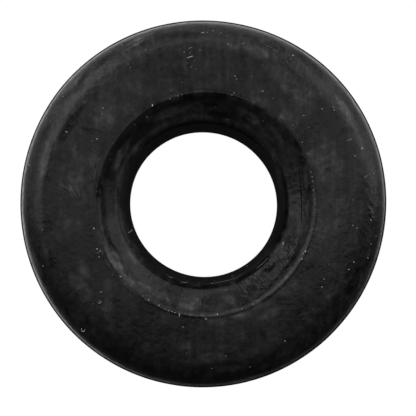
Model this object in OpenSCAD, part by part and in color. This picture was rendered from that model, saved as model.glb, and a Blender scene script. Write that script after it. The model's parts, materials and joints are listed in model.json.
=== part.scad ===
// Rubber grommet for a round hole in a panel.
// Two round-shouldered flanges grip the panel in the groove between them. Each face is dished
// down to a straight bore, so that a cable or hose leaves it over a rounded edge.
// Millimetres. Z runs up the bore, and the origin is at the middle of the lower face.

/* [Bore] */
// Diameter of the straight bore
bore_d = 16; // [13:0.5:17]
// Radius of the edge where the dish turns down into the bore
bore_edge_r = 1; // [0.6:0.1:1.4]

/* [Flanges] */
// Diameter over the flanges
flange_d = 36.5; // [34:0.5:44]
// Thickness of each flange, from its face to the panel
flange_t = 5.5; // [5.25:0.25:8]
// Radius of the round shoulder outside each face
shoulder_r = 3.7; // [2.6:0.1:3.9]
// Tilt at which the shoulder leaves the face, seen as a soft crease
crease_tilt = 12; // [9:1:16]
// Radius of the flange's edge next to the panel
grip_edge_r = 1.2; // [0.6:0.1:1.5]

/* [Faces] */
// Outer diameter of the flat ring that the grommet stands on
flat_d = 24.4; // [23.4:0.2:27]
// Radius of the low crown between the flat ring and the shoulder
crown_r = 36; // [30:1:60]

/* [Dish] */
// Diameter of the dish where it opens in the face
dish_d = 21.4; // [19.4:0.2:22.6]
// Width of the bevelled lip round the dish
lip_w = 0.35; // [0.3:0.05:0.5]
// Depth of the bevelled lip
lip_h = 0.2; // [0.1:0.05:0.3]
// Radius of the dish's hollow wall, below the lip
bowl_r = 9; // [7:0.5:14]
// Steepness of that wall just below the lip, from level
bowl_tilt = 46; // [41:1:52]

/* [Panel groove] */
// Diameter at the bottom of the groove, which fills the panel's hole
groove_d = 26; // [24:0.5:28]
// Width of the groove, which takes the panel's thickness
groove_w = 3; // [1.5:0.25:6]
// Radius of the two corners at the bottom of the groove
groove_corner_r = 0.5; // [0.2:0.1:0.7]

/* [Hidden] */
$fn = 180;
crown_fn = 720;

height = 2 * flange_t + groove_w;
bore_r = bore_d / 2;
flange_r = flange_d / 2;
flat_r = flat_d / 2;
dish_r = dish_d / 2;
groove_r = groove_d / 2;

// How far a cutting shape runs past the surface that it cuts
past = 1;
// How far the shoulder's cut starts inside the crease, so that the two arcs cross there
overlap = 0.05;
// How far the bore's edge bites into the hollow wall, so that the two arcs meet in a clean line
bite = 0.001;

// In the section, x is the distance from the axis and y is the height above a face

// The shoulder's arc ends upright at the flange's edge and starts at the crease
shoulder_x = flange_r - shoulder_r;
crease_x = shoulder_x + shoulder_r * sin(crease_tilt);
crown_y = sqrt(crown_r ^ 2 - (crease_x - flat_r) ^ 2) - crown_r;
shoulder_y = crown_y - shoulder_r * cos(crease_tilt);

// The hollow wall starts at the foot of the lip, and the bore's edge touches it and the bore
lip_r = dish_r - lip_w;
bowl_centre = [lip_r - bowl_r * sin(bowl_tilt), bowl_r * cos(bowl_tilt) - lip_h];
edge_x = bore_r + bore_edge_r;
edge_drop = sqrt((bowl_r + bore_edge_r - bite) ^ 2 - (edge_x - bowl_centre.x) ^ 2);
edge_centre = [edge_x, bowl_centre.y - edge_drop];

// What is cut off above the low crown
module crown_cut() {
    difference() {
        translate([flat_r, -shoulder_r])
            square([flange_r - flat_r + past, shoulder_r + past]);
        translate([flat_r, -crown_r])
            circle(r = crown_r, $fn = crown_fn);
    }
}

// What is cut off outside the round shoulder
module shoulder_cut() {
    difference() {
        translate([crease_x - overlap, shoulder_y])
            square([flange_r - crease_x + overlap + past, past - shoulder_y]);
        translate([shoulder_x, shoulder_y])
            circle(r = shoulder_r);
    }
}

// What is cut off the flange's edge next to the panel
module grip_edge_cut() {
    difference() {
        translate([flange_r - grip_edge_r, -flange_t - past])
            square([grip_edge_r + past, grip_edge_r + past]);
        translate([flange_r - grip_edge_r, grip_edge_r - flange_t])
            circle(r = grip_edge_r);
    }
}

// The hollow of the dish, from the bevelled lip down to the straight bore. The bevel is drawn twice
// as deep as it shows, so that it ends inside the hollow.
module dish_cut() {
    bevel_end = [dish_r - 2 * lip_w, -2 * lip_h];
    polygon([[0, bevel_end.y], bevel_end, [dish_r, 0], [dish_r, past], [0, past]]);
    translate(bowl_centre)
        circle(r = bowl_r);
    difference() {
        polygon([[0, edge_centre.y], edge_centre, bowl_centre, [0, bowl_centre.y]]);
        translate(edge_centre)
            circle(r = bore_edge_r);
    }
}

// The groove that the panel fills, with its rounded bottom corners
module groove_cut() {
    corner_x = groove_r + groove_corner_r;
    translate([corner_x, 0])
        square([flange_r - corner_x + past, groove_w]);
    translate([groove_r, groove_corner_r])
        square([flange_r - groove_r, groove_w - 2 * groove_corner_r]);
    for (y = [groove_corner_r, groove_w - groove_corner_r])
        translate([corner_x, y])
            circle(r = groove_corner_r);
}

// Places the cuts of one face at the top and, turned over, at the bottom
module at_both_faces() {
    translate([0, height])
        children();
    mirror([0, 1])
        children();
}

// The ring's section, which is the same above and below the panel
module section() {
    difference() {
        translate([bore_r, 0])
            square([flange_r - bore_r, height]);
        at_both_faces() {
            crown_cut();
            shoulder_cut();
            grip_edge_cut();
            dish_cut();
        }
        translate([0, flange_t])
            groove_cut();
    }
}

module grommet() {
    color([0.14, 0.14, 0.145])
        rotate_extrude()
            section();
}

grommet();
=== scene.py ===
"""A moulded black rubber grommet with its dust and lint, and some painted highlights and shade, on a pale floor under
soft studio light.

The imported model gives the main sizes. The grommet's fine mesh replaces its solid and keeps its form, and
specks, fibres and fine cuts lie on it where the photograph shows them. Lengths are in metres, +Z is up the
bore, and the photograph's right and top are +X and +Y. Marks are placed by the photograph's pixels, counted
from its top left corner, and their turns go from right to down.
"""

from __future__ import annotations

import json
import logging
import math
import random
from dataclasses import dataclass
from enum import Enum
from functools import cached_property

import bmesh
import bpy
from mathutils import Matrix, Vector, noise
from mathutils.bvhtree import BVHTree

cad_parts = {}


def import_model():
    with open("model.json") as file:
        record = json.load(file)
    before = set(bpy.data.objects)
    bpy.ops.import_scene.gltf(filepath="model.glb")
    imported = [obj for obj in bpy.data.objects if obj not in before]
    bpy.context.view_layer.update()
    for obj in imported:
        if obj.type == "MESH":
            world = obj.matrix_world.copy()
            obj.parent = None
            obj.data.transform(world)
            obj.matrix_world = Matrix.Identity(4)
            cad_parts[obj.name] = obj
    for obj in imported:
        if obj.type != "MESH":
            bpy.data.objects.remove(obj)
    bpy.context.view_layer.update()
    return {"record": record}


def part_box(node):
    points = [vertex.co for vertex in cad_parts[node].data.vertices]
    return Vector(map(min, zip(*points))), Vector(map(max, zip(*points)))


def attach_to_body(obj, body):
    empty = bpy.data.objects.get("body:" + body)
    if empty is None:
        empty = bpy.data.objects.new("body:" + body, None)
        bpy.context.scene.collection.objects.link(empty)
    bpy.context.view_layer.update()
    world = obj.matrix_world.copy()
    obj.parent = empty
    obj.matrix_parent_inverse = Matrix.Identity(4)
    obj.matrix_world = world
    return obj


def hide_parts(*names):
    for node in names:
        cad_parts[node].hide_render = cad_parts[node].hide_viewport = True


LOG = logging.getLogger("grommet")
MM = 0.001
NODE = "grommet"
BODY = "root"

Point = tuple[float, float]


def arc(centre: Point, radius: float, start: float, end: float, steps: int) -> list[Point]:
    """Points along an arc, both ends included.

    Args:
        centre: The arc's centre.
        radius: Its radius.
        start: The first point's angle from +X, in degrees, anticlockwise.
        end: The last point's angle.
        steps: How many straight steps make the arc.

    Returns:
        The points in order.
    """
    angles = (math.radians(start + (end - start) * i / steps) for i in range(steps + 1))
    return [(centre[0] + radius * math.cos(a), centre[1] + radius * math.sin(a)) for a in angles]


def line(start: Point, end: Point, steps: int) -> list[Point]:
    """Points along a straight line, both ends included.

    Args:
        start: The first point.
        end: The last point.
        steps: How many equal steps make the line.

    Returns:
        The points in order.
    """
    shares = (i / steps for i in range(steps + 1))
    return [(start[0] + (end[0] - start[0]) * s, start[1] + (end[1] - start[1]) * s) for s in shares]


def smooth(low: float, high: float, value: float) -> float:
    """Eases from 0 at low to 1 at high.

    Args:
        low: Where the result leaves 0. It may lie above high, which turns the slope round.
        high: Where the result reaches 1.
        value: The place to look at.

    Returns:
        A number from 0 to 1.
    """
    t = min(1.0, max(0.0, (value - low) / (high - low)))
    return t * t * (3.0 - 2.0 * t)


def add_object(name: str, bm: bmesh.types.BMesh) -> bpy.types.Object:
    """Turns a finished mesh into an object in the scene.

    Args:
        name: The object's name.
        bm: The mesh, which is freed.

    Returns:
        The object.
    """
    mesh = bpy.data.meshes.new(name)
    bm.to_mesh(mesh)
    bm.free()
    mesh.shade_smooth()
    made = bpy.data.objects.new(name, mesh)
    bpy.context.collection.objects.link(made)
    return made


@dataclass(frozen=True)
class Section:
    """The ring's section: x is the distance from the axis, and y the height above the floor."""

    bore_r: float
    flange_r: float
    height: float
    groove_r: float
    groove_w: float
    bore_edge_r: float = 1.0 * MM
    shoulder_r: float = 3.7 * MM
    crease_tilt: float = 12.0
    grip_edge_r: float = 1.2 * MM
    flat_r: float = 12.2 * MM
    crown_r: float = 36.0 * MM
    dish_r: float = 10.7 * MM
    lip_w: float = 0.35 * MM
    lip_h: float = 0.2 * MM
    bead_w: float = 0.15 * MM
    bead_h: float = 0.03 * MM
    bowl_r: float = 9.0 * MM
    bowl_tilt: float = 46.0
    groove_corner_r: float = 0.5 * MM

    @classmethod
    def from_frame(cls, record: dict) -> Section:
        """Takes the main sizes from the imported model.

        Args:
            record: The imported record.

        Returns:
            The section at the model's own sizes.
        """
        low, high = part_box(NODE)
        mounts = {mount["name"]: mount["dims"] for mount in record["mounts"]}
        return cls(
            bore_r=mounts["bore"]["r_mm"] * MM,
            flange_r=(high[0] - low[0]) / 2,
            height=high[2] - low[2],
            groove_r=mounts["panel_groove"]["r_mm"] * MM,
            groove_w=mounts["panel_groove"]["length_mm"] * MM,
        )

    @property
    def flange_t(self) -> float:
        """Thickness of one flange."""
        return (self.height - self.groove_w) / 2

    @property
    def lip_r(self) -> float:
        """Radius of the bevelled lip's foot."""
        return self.dish_r - self.lip_w

    @property
    def crease_r(self) -> float:
        """Radius at which the face turns into the shoulder."""
        return self.flange_r - self.shoulder_r * (1 - math.sin(math.radians(self.crease_tilt)))

    @property
    def shoulder_centre(self) -> Point:
        """Centre of the upper shoulder's arc."""
        x = self.flange_r - self.shoulder_r
        crown_drop = self.crown_r - math.sqrt(self.crown_r**2 - (self.crease_r - self.flat_r) ** 2)
        return x, self.height - crown_drop - self.shoulder_r * math.cos(math.radians(self.crease_tilt))

    @property
    def bowl_centre(self) -> Point:
        """Centre of the upper dish's hollow arc."""
        tilt = math.radians(self.bowl_tilt)
        return self.lip_r - self.bowl_r * math.sin(tilt), self.height - self.lip_h + self.bowl_r * math.cos(tilt)

    @property
    def edge_centre(self) -> Point:
        """Centre of the arc that turns the upper dish down into the bore."""
        x = self.bore_r + self.bore_edge_r
        across = x - self.bowl_centre[0]
        return x, self.bowl_centre[1] - math.sqrt((self.bowl_r + self.bore_edge_r) ** 2 - across**2)

    def limb(self, stand_off: float) -> Point:
        """The shoulder's outline as seen from above the bore.

        Args:
            stand_off: The camera's height above the upper face.

        Returns:
            The radius there and its depth below the upper face.
        """
        x, y = self.shoulder_centre
        slope = math.atan(self.flange_r / (stand_off + self.height - y))
        return x + self.shoulder_r * math.cos(slope), self.height - y - self.shoulder_r * math.sin(slope)

    def half(self, fine: float) -> list[Point]:
        """The outline from the middle of the bore, over the upper face, to the middle of the groove.

        Args:
            fine: How fine the steps are, where 1 is plain.

        Returns:
            The points in order.
        """

        def steps(count: int) -> int:
            return max(1, round(count * fine))

        top, middle, grip_y = self.height, self.height / 2, self.height - self.flange_t
        bowl, edge, shoulder = self.bowl_centre, self.edge_centre, self.shoulder_centre
        touch = math.degrees(math.atan2(bowl[1] - edge[1], bowl[0] - edge[0]))
        crown_end = 90 - math.degrees(math.asin((self.crease_r - self.flat_r) / self.crown_r))
        bead_end = (self.dish_r + self.bead_w, top - self.bead_h)
        corner_x, grip_x = self.groove_r + self.groove_corner_r, self.flange_r - self.grip_edge_r
        return [
            *line((self.bore_r, middle), (self.bore_r, edge[1]), steps(12))[:-1],
            *arc(edge, self.bore_edge_r, 180, touch, steps(9))[:-1],
            *arc(bowl, self.bowl_r, touch - 180, self.bowl_tilt - 90, steps(19)),
            *line((self.lip_r, top - self.lip_h), (self.dish_r, top), steps(3))[1:],
            *line((self.dish_r, top), bead_end, steps(2))[1:],
            *line(bead_end, (self.flat_r, top), steps(9))[1:-1],
            *arc((self.flat_r, top - self.crown_r), self.crown_r, 90, crown_end, steps(18)),
            *arc(shoulder, self.shoulder_r, 90 - self.crease_tilt, 0, steps(34))[1:],
            *arc((grip_x, grip_y + self.grip_edge_r), self.grip_edge_r, 0, -90, steps(7)),
            *line((grip_x, grip_y), (corner_x, grip_y), steps(6))[1:-1],
            *arc((corner_x, grip_y - self.groove_corner_r), self.groove_corner_r, 90, 180, steps(5)),
            *line((self.groove_r, grip_y - self.groove_corner_r), (self.groove_r, middle), steps(2))[1:],
        ]

    def outline(self) -> list[Point]:
        """The closed outline of the whole section, finer above than below.

        Returns:
            The points in order, without the first one again at the end.
        """
        lower = [(x, self.height - y) for x, y in reversed(self.half(0.5))]
        return self.half(1.0) + lower[1:-1]


@dataclass(frozen=True)
class PhotoView:
    """The circles that the photograph shows, in its own pixels, and the camera that sees them so."""

    section: Section
    frame_px: int = 416
    outline_centre_px: Point = (202.8, 203.4)
    outline_px: float = 183.4
    bore_px: float = 72.7

    @cached_property
    def stand_off(self) -> float:
        """The camera's height above the upper face, from how much smaller the bore's far end looks."""
        section = self.section
        far_depth = section.edge_centre[1]
        near, far = section.height, 40 * section.height
        for _ in range(40):
            trial = (near + far) / 2
            rim_r, rim_depth = section.limb(trial)
            seen = (rim_r / (trial + rim_depth)) / (section.bore_r / (trial + far_depth))
            if seen > self.outline_px / self.bore_px:
                near = trial
            else:
                far = trial
        return (near + far) / 2

    @cached_property
    def focal_px(self) -> float:
        """The camera's focal length in the photograph's pixels."""
        rim_r, rim_depth = self.section.limb(self.stand_off)
        return self.outline_px * (self.stand_off + rim_depth) / rim_r

    @cached_property
    def eye(self) -> Vector:
        """The camera's place."""
        to_metres = self.section.limb(self.stand_off)[0] / self.outline_px
        middle = self.frame_px / 2
        x_px, y_px = self.outline_centre_px
        return Vector(((middle - x_px) * to_metres, (y_px - middle) * to_metres, self.section.height + self.stand_off))

    def ray(self, spot: Point) -> Vector:
        """The direction from the camera through a pixel.

        Args:
            spot: The pixel.

        Returns:
            The direction, one unit long.
        """
        middle = self.frame_px / 2
        return Vector((spot[0] - middle, middle - spot[1], -self.focal_px)).normalized()

    def pixel(self, place: Vector) -> Point:
        """The pixel at which the camera sees a point.

        Args:
            place: The point.

        Returns:
            The pixel.
        """
        away = place - self.eye
        middle = self.frame_px / 2
        return middle - away.x / away.z * self.focal_px, middle + away.y / away.z * self.focal_px

    def build(self) -> bpy.types.Object:
        """Makes the camera, which looks straight down.

        Returns:
            The camera.
        """
        data = bpy.data.cameras.new("camera")
        data.sensor_width = 36.0
        data.lens = data.sensor_width * self.focal_px / self.frame_px
        data.clip_start = 1 * MM
        camera = bpy.data.objects.new("camera", data)
        bpy.context.collection.objects.link(camera)
        camera.location = self.eye
        bpy.context.scene.camera = camera
        LOG.info("camera %.1f mm above the face, lens %.1f mm", self.stand_off / MM, data.lens)
        return camera


@dataclass(frozen=True)
class Wave:
    """One slow wave round a circle, which makes it a little oval or lobed."""

    lobes: int
    height: float
    toward: float

    def at(self, angle: float) -> float:
        """The wave's height at an angle round the axis, in radians."""
        return self.height * math.cos(self.lobes * (angle - math.radians(self.toward)))


class Film(Enum):
    """What the rubber has more or less of from place to place, by the mesh attribute for its material."""

    # Dust, and the painted highlights and painted shade laid into the same film.
    DUST = "dust"
    DULL = "dull"
    EVEN = "even"


@dataclass(frozen=True)
class SoftPatch:
    """A soft patch with more or less of a film on the upper side, in the photograph's pixels. On the dust film some
    patches are dust, and some are painted highlights or painted shade.
    """

    x: float
    y: float
    long: float
    wide: float
    turn: float
    amount: float
    film: Film = Film.DUST
    soft: float = 0.8

    def at(self, x_px: float, y_px: float) -> float:
        """How much of the film the patch adds at a pixel.

        Args:
            x_px: The pixel's distance from the photograph's left side.
            y_px: Its distance from the top.

        Returns:
            The patch's amount there.
        """
        dx, dy = x_px - self.x, y_px - self.y
        if abs(dx) > self.long or abs(dy) > self.long:
            return 0.0
        angle = math.radians(self.turn)
        along = (dx * math.cos(angle) + dy * math.sin(angle)) / self.long
        across = (dy * math.cos(angle) - dx * math.sin(angle)) / self.wide
        return self.amount * smooth(1.0, 1.0 - self.soft, along * along + across * across)


@dataclass
class RubberBody:
    """The moulded ring, with the small faults in its form and the films that the photograph shows, some of them painted
    highlights and painted shade.
    """

    section: Section
    view: PhotoView
    smudges_and_painted_light: tuple[SoftPatch, ...] = ()
    turns: int = 480
    bore_waves: tuple[Wave, ...] = (Wave(1, 0.09 * MM, -73.0), Wave(2, 0.08 * MM, -21.0))
    rim_waves: tuple[Wave, ...] = (
        Wave(1, 0.045 * MM, -29.0),
        Wave(2, 0.03 * MM, 71.0),
        Wave(3, 0.032 * MM, 21.0),
        Wave(4, 0.017 * MM, 37.0),
    )
    dish_shift: Point = (0.31 * MM, -0.11 * MM)
    sag: float = 0.012 * MM
    lip_waves: tuple[Wave, ...] = (Wave(0, -0.08 * MM, 0.0), Wave(2, 0.1 * MM, 80.0))
    ragged: float = 0.02 * MM
    worn_edge: float = 0.25 * MM
    seam_low: float = 0.2 * MM
    seam_high: float = 1.7 * MM
    rubbed_high: float = 2.4 * MM
    # Dust and a painted highlight on the lips' crests, strongest where the bevel faces the lamps.
    lip_dust_and_highlight: float = 2.0
    lip_highlight_toward: float = -75.0
    # Darker in a thin ring just outside each crest.
    lip_groove: float = 0.9
    # Paler along the bore's rounded edge, most on one side.
    bore_edge_paler: float = 0.9
    bore_edge_paler_toward: float = 170.0
    # Painted shade in the bore.
    bore_painted_shade: float = 0.2
    even_dish: float = 0.4
    even_dish_toward: float = 110.0
    even_face: float = 0.35
    even_face_toward: float = -110.0

    def build(self) -> bpy.types.Object:
        """Spins the section into the ring, works the small faults into it and lays the films on it.

        Returns:
            The ring's object.
        """
        bm = bmesh.new()
        verts = [bm.verts.new((x, 0.0, y)) for x, y in self.section.outline()]
        edges = [bm.edges.new((verts[i - 1], verts[i])) for i in range(len(verts))]
        bmesh.ops.spin(
            bm, geom=verts + edges, cent=(0, 0, 0), axis=(0, 0, 1), angle=math.tau, steps=self.turns, use_merge=True
        )
        bmesh.ops.recalc_face_normals(bm, faces=bm.faces)
        for vert in bm.verts:
            vert.co += self.fault(vert.co, vert.normal)
        ring = add_object("grommet_ring", bm)
        for film in Film:
            self.lay(ring.data, film)
        return ring

    def fault(self, place: Vector, normal: Vector) -> Vector:
        """How far the moulding strays from the true form at one point.

        Args:
            place: The point on the true form.
            normal: The surface's direction there.

        Returns:
            The move that the point gets.
        """
        s = self.section
        reach = math.hypot(place.x, place.y)
        angle = math.atan2(place.y, place.x)
        outward = Vector((place.x / reach, place.y / reach, 0))
        above = smooth(s.height / 2, s.height - s.lip_h, place.z)
        near_bore = smooth(s.dish_r, s.bore_r, reach)
        near_rim = smooth(s.crease_r, s.flange_r, reach)
        near_lip = smooth(s.bore_r, s.lip_r, reach) * smooth(s.crease_r, s.dish_r, reach)
        move = outward * (near_bore * sum(wave.at(angle) for wave in self.bore_waves))
        move += outward * (near_rim * sum(wave.at(angle) for wave in self.rim_waves))
        move += Vector((*self.dish_shift, 0)) * (near_lip * above)
        on_lip = smooth(1.2 * MM, 0.4 * MM, abs(reach - s.dish_r)) * above
        lip_move = sum(wave.at(angle) for wave in self.lip_waves) + self.ragged * noise.noise(place / (0.5 * MM))
        move += outward * (on_lip * lip_move)
        away_from_foot = smooth(0.0, 0.5 * MM, place.z)
        return move + normal * (self.sag * away_from_foot * noise.noise(place / (3.5 * MM)))

    def lay(self, mesh: bpy.types.Mesh, film: Film) -> None:
        """Writes how much of a film lies on each point of the ring.

        Args:
            mesh: The ring's mesh.
            film: The film.
        """
        amount = {Film.DUST: self.dust, Film.DULL: self.dullness, Film.EVEN: self.evenness}[film]
        patches = [soft_patch for soft_patch in self.smudges_and_painted_light if soft_patch.film is film]
        layer = mesh.attributes.new(film.value, "FLOAT", "POINT")
        for vert, cell in zip(mesh.vertices, layer.data):
            cell.value = amount(vert.co)
            if vert.co.z > self.section.height / 2:
                x_px, y_px = self.view.pixel(vert.co)
                stray = noise.noise_vector(vert.co / (0.7 * MM)) * 1.4
                cell.value += sum(patch.at(x_px + stray.x, y_px + stray.y) for patch in patches)

    def dust(self, place: Vector) -> float:
        """How much dust and painted light lies on the true form: dust and a painted highlight on the two lips'
        crests, darker just outside them, painted shade in the bore, and paler along the bore's edge.

        Args:
            place: The point.

        Returns:
            The amount there.
        """
        s = self.section
        reach = math.hypot(place.x, place.y)
        high = smooth(0.5 * MM, 0.3 * MM, min(place.z, s.height - place.z))
        # Dust on the lips' crests, with a painted highlight that is strongest where the bevel faces the lamps.
        crest = smooth(0.12 * MM, 0.03 * MM, abs(reach - s.dish_r)) * self.lip_dust_and_highlight
        crest *= 0.55 + 0.45 * math.cos(math.atan2(place.y, place.x) - math.radians(self.lip_highlight_toward))
        # Darker in a thin ring just outside each crest.
        groove = smooth(0.2 * MM, 0.05 * MM, abs(reach - s.dish_r - 0.17 * MM)) * self.lip_groove
        uneven = 0.6 + 1.2 * noise.noise(place / (0.35 * MM))
        # Painted shade: a darker colour down the bore.
        in_bore = smooth(s.bore_r + 2 * self.worn_edge, s.bore_r + self.worn_edge, reach)
        # Paler along the bore's rounded edge, most on one side.
        on_edge = smooth(0.5 * MM, 0.15 * MM, abs(reach - s.bore_r - 0.35 * MM))
        on_edge *= 0.6 + 0.4 * math.cos(math.atan2(place.y, place.x) - math.radians(self.bore_edge_paler_toward))
        return high * uneven * (crest - groove) + on_edge * self.bore_edge_paler - in_bore * self.bore_painted_shade

    def dullness(self, place: Vector) -> float:
        """How dull the rubber is: fully in the bore and along each flange's mould seam.

        Args:
            place: The point.

        Returns:
            A number up to 1, below 0 where the flange's edge is rubbed smooth.
        """
        s = self.section
        reach = math.hypot(place.x, place.y)
        in_bore = smooth(s.bore_r + 2 * self.worn_edge, s.bore_r + self.worn_edge, reach)
        above_seam = max(place.z, s.height - place.z) - s.shoulder_centre[1]
        on_edge = smooth(s.crease_r, s.flange_r - 0.5 * MM, reach)
        on_seam = on_edge * smooth(self.seam_high + 0.15 * MM, self.seam_high, above_seam)
        on_seam *= smooth(-self.seam_low - 0.15 * MM, -self.seam_low, above_seam)
        rubbed = on_edge * smooth(self.rubbed_high, self.rubbed_high - 0.3 * MM, above_seam)
        return in_bore + on_seam * 2.0 - rubbed

    def evenness(self, place: Vector) -> float:
        """How far the patches fade: on one side of the dish, and on the other side of the face.

        Args:
            place: The point.

        Returns:
            0 where the patches are at their full strength, 1 where there would be none.
        """
        s = self.section
        in_dish = smooth(s.dish_r, s.lip_r, math.hypot(place.x, place.y))
        angle = math.atan2(place.y, place.x)
        dish = smooth(-0.4, 0.4, math.cos(angle - math.radians(self.even_dish_toward)))
        face = smooth(0.0, 0.8, math.cos(angle - math.radians(self.even_face_toward)))
        return in_dish * dish * self.even_dish + (1 - in_dish) * face * self.even_face


class Graph:
    """The node tree of one material, with short ways to add to it."""

    def __init__(self, name: str) -> None:
        """Makes the material.

        Args:
            name: The material's name.
        """
        self.material = bpy.data.materials.new(name)
        self.material.use_nodes = True
        self.tree = self.material.node_tree
        self.shader = self.tree.nodes["Principled BSDF"]

    def node(self, kind: str, **settings: str) -> bpy.types.Node:
        """Adds a node.

        Args:
            kind: The node's type.
            **settings: Its choices by name.

        Returns:
            The node.
        """
        made = self.tree.nodes.new(kind)
        for name, value in settings.items():
            setattr(made, name, value)
        return made

    def feed(self, socket: bpy.types.NodeSocket, value: bpy.types.NodeSocket | float | tuple) -> None:
        """Links an output to an input, or sets the input's constant.

        Args:
            socket: The input.
            value: The output or the constant.
        """
        if isinstance(value, bpy.types.NodeSocket):
            self.tree.links.new(value, socket)
        else:
            socket.default_value = value

    def math(self, operation: str, *values: bpy.types.NodeSocket | float) -> bpy.types.NodeSocket:
        """Adds a sum on numbers.

        Args:
            operation: The node's operation.
            *values: Its inputs in order.

        Returns:
            The result.
        """
        made = self.node("ShaderNodeMath", operation=operation)
        for socket, value in zip(made.inputs, values):
            self.feed(socket, value)
        return made.outputs[0]

    def mix(
        self, share: bpy.types.NodeSocket, first: bpy.types.NodeSocket, second: bpy.types.NodeSocket
    ) -> bpy.types.NodeSocket:
        """Adds a mix of two shaders.

        Args:
            share: How much of the second one shows, cut to 0 to 1.
            first: The first shader.
            second: The second shader.

        Returns:
            The mixed shader.
        """
        made = self.node("ShaderNodeMixShader")
        self.feed(made.inputs[0], self.math("MINIMUM", self.math("MAXIMUM", share, 0.0), 1.0))
        self.feed(made.inputs[1], first)
        self.feed(made.inputs[2], second)
        return made.outputs[0]

    def ramp(self, value: bpy.types.NodeSocket, low: float, high: float, start: float = 0.0) -> bpy.types.NodeSocket:
        """Adds a soft step up to 1.

        Args:
            value: What is looked at.
            low: Where the step leaves its start. It may lie above high, which turns the step round.
            high: Where the step reaches 1.
            start: The result before the step.

        Returns:
            The result.
        """
        made = self.node("ShaderNodeMapRange", interpolation_type="SMOOTHSTEP")
        for name, given in (("Value", value), ("From Min", low), ("From Max", high), ("To Min", start)):
            self.feed(made.inputs[name], given)
        return made.outputs["Result"]

    def stretch(self, vector: bpy.types.NodeSocket, by: tuple[float, float, float]) -> bpy.types.NodeSocket:
        """Adds a stretch of coordinates.

        Args:
            vector: The coordinates.
            by: The factor on each axis.

        Returns:
            The stretched coordinates.
        """
        made = self.node("ShaderNodeVectorMath", operation="MULTIPLY")
        self.feed(made.inputs[0], vector)
        self.feed(made.inputs[1], by)
        return made.outputs[0]


class Flow(Enum):
    """Which way a layer's patches are drawn out."""

    EVEN = "all ways alike"
    WIPED = "up and down the photograph"
    RADIAL = "out from the bore"


@dataclass(frozen=True)
class Layer:
    """One layer of fine patches: their size and how strongly they count."""

    size: float
    weight: float
    flow: Flow = Flow.EVEN
    detail: float = 2.0


@dataclass(frozen=True)
class Patches:
    """Layers of patches on the ring, added up."""

    layers: tuple[Layer, ...]
    drawn_out: float = 9.0
    mean_r: float = 13.0 * MM

    def build(self, graph: Graph, start: bpy.types.NodeSocket | float) -> bpy.types.NodeSocket:
        """Adds the layers' nodes.

        Args:
            graph: The material's nodes.
            start: What the layers are added to.

        Returns:
            The sum, in which a layer of its mean strength adds nothing.
        """
        spot = graph.node("ShaderNodeTexCoord").outputs["Object"]
        flat = graph.stretch(spot, (1, 1, 0))
        reach = graph.node("ShaderNodeVectorMath", operation="LENGTH")
        toward = graph.node("ShaderNodeVectorMath", operation="NORMALIZE")
        graph.feed(reach.inputs[0], flat)
        graph.feed(toward.inputs[0], flat)
        across, height = graph.node("ShaderNodeSeparateXYZ"), graph.node("ShaderNodeSeparateXYZ")
        graph.feed(across.inputs[0], toward.outputs[0])
        graph.feed(height.inputs[0], spot)
        polar = graph.node("ShaderNodeCombineXYZ")
        for socket, value in zip(polar.inputs, (across.outputs["X"], across.outputs["Y"], reach.outputs["Value"])):
            graph.feed(socket, value)
        slow, z = 1 / self.drawn_out, height.outputs["Z"]
        ways = {
            Flow.EVEN: (spot, 0.0),
            Flow.WIPED: (graph.stretch(spot, (1, slow, 1)), 0.0),
            Flow.RADIAL: (
                graph.stretch(polar.outputs[0], (self.mean_r, self.mean_r, slow)),
                graph.math("MULTIPLY", z, slow),
            ),
        }
        total = graph.math("SUBTRACT", start, sum(layer.weight for layer in self.layers) / 2)
        for layer in self.layers:
            cloud = graph.node("ShaderNodeTexNoise", noise_dimensions="4D")
            vector, depth = ways[layer.flow]
            graph.feed(cloud.inputs["Vector"], vector)
            graph.feed(cloud.inputs["W"], depth)
            graph.feed(cloud.inputs["Scale"], 1 / layer.size)
            graph.feed(cloud.inputs["Detail"], layer.detail)
            total = graph.math("MULTIPLY_ADD", cloud.outputs["Fac"], layer.weight, total)
        return total


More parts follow.
